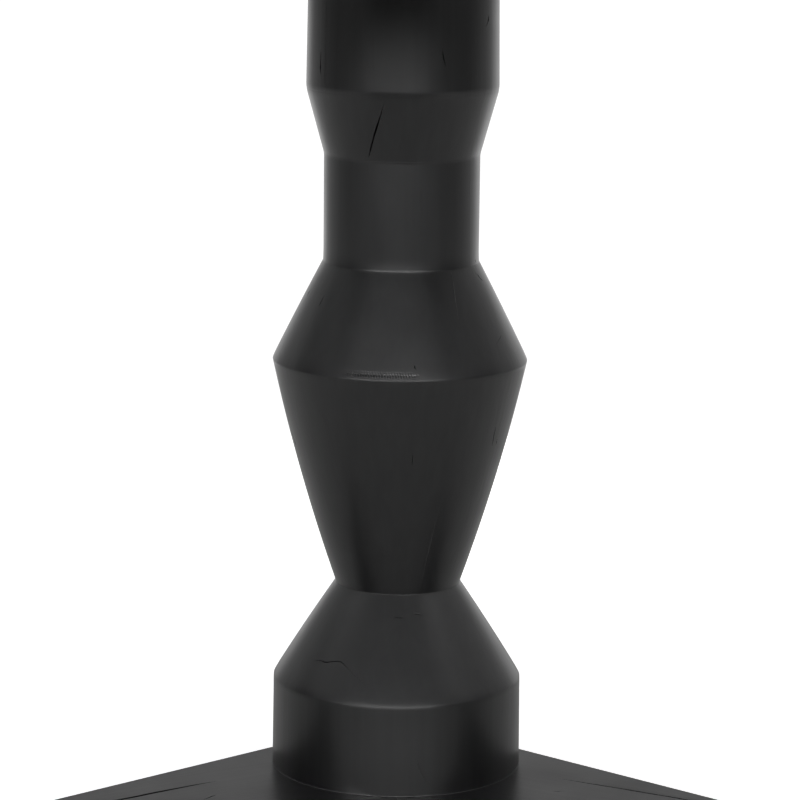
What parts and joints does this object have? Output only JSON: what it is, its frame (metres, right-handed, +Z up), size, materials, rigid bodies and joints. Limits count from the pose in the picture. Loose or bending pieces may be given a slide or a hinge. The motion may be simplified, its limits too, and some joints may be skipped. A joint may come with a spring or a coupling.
{
  "type": "pedestal table",
  "caption": "Round wooden pedestal table: board top on a column of turned cones and cylinders, three-armed tapering foot with levelling feet.",
  "frame": {"origin": "on the floor, under the middle of the column", "axes": "+Z up, +Y along the back arm of the foot, +X to the right seen from the front"},
  "size_m": [0.8, 0.8, 0.762],
  "materials": {
    "ebonised_foot": "ebonised oak, satin lacquer",
    "ebonised_column": "ebonised turned wood, satin lacquer",
    "ebonised_top": "ebonised oak boards, satin lacquer",
    "spline_beech": "planed beech, unfinished",
    "black_steel": "powder coated matt black",
    "zinc_plated_steel": "bright zinc plate",
    "brass": "machined brass",
    "black_nylon": "moulded nylon"
  },
  "bodies": {
    "table": {"foot_arm_left": "ebonised_foot", "foot_arm_right": "ebonised_foot", "foot_arm_back": "ebonised_foot", "foot_spline_front": "spline_beech", "foot_spline_left": "spline_beech", "foot_spline_right": "spline_beech", "hub_plate": "black_steel", "hub_screws": "zinc_plated_steel", "column_drum": "ebonised_column", "column_lower_cone": "ebonised_column", "column_long_cone": "ebonised_column", "column_upper_cone": "ebonised_column", "column_neck": "ebonised_column", "column_swell": "ebonised_column", "column_head": "ebonised_column", "tie_rod": "zinc_plated_steel", "rod_boss": "zinc_plated_steel", "top_board_1": "ebonised_top", "top_board_2": "ebonised_top", "top_board_3": "ebonised_top", "top_board_4": "ebonised_top", "top_board_5": "ebonised_top", "top_board_6": "ebonised_top", "top_board_7": "ebonised_top", "top_board_8": "ebonised_top", "top_board_9": "ebonised_top", "mounting_plate": "black_steel", "mounting_plate_screws": "zinc_plated_steel", "head_screws": "zinc_plated_steel", "stiffener_left": "black_steel", "stiffener_right": "black_steel", "stiffener_screws": "zinc_plated_steel", "leveller_insert_left": "brass", "leveller_insert_right": "brass", "leveller_insert_back": "brass"},
    "pad_left": {"leveller_pad_left": "black_nylon"},
    "stem_left": {"leveller_stem_left": "zinc_plated_steel"},
    "pad_right": {"leveller_pad_right": "black_nylon"},
    "stem_right": {"leveller_stem_right": "zinc_plated_steel"},
    "pad_back": {"leveller_pad_back": "black_nylon"},
    "stem_back": {"leveller_stem_back": "zinc_plated_steel"}
  },
  "joints": [
    {"name": "leveller_travel_left", "type": "slide", "parent": "table", "child": "pad_left", "axis": [0, 0, -1], "range_m": [0, 0.01]},
    {"name": "leveller_turn_left", "type": "hinge", "parent": "pad_left", "child": "stem_left", "pos_m": [-0.28146, -0.1625, 0.008], "axis": [0, 0, -1], "range_deg": [0, 2880]},
    {"name": "leveller_travel_right", "type": "slide", "parent": "table", "child": "pad_right", "axis": [0, 0, -1], "range_m": [0, 0.01]},
    {"name": "leveller_turn_right", "type": "hinge", "parent": "pad_right", "child": "stem_right", "pos_m": [0.28146, -0.1625, 0.008], "axis": [0, 0, -1], "range_deg": [0, 2880]},
    {"name": "leveller_travel_back", "type": "slide", "parent": "table", "child": "pad_back", "axis": [0, 0, -1], "range_m": [0, 0.01]},
    {"name": "leveller_turn_back", "type": "hinge", "parent": "pad_back", "child": "stem_back", "pos_m": [0, 0.325, 0.008], "axis": [0, 0, -1], "range_deg": [0, 2880]}
  ],
  "couplings": [
    {"joint": "leveller_travel_left", "follows": "leveller_turn_left", "m_per_rad": 0.00019894},
    {"joint": "leveller_travel_right", "follows": "leveller_turn_right", "m_per_rad": 0.00019894},
    {"joint": "leveller_travel_back", "follows": "leveller_turn_back", "m_per_rad": 0.00019894}
  ]
}
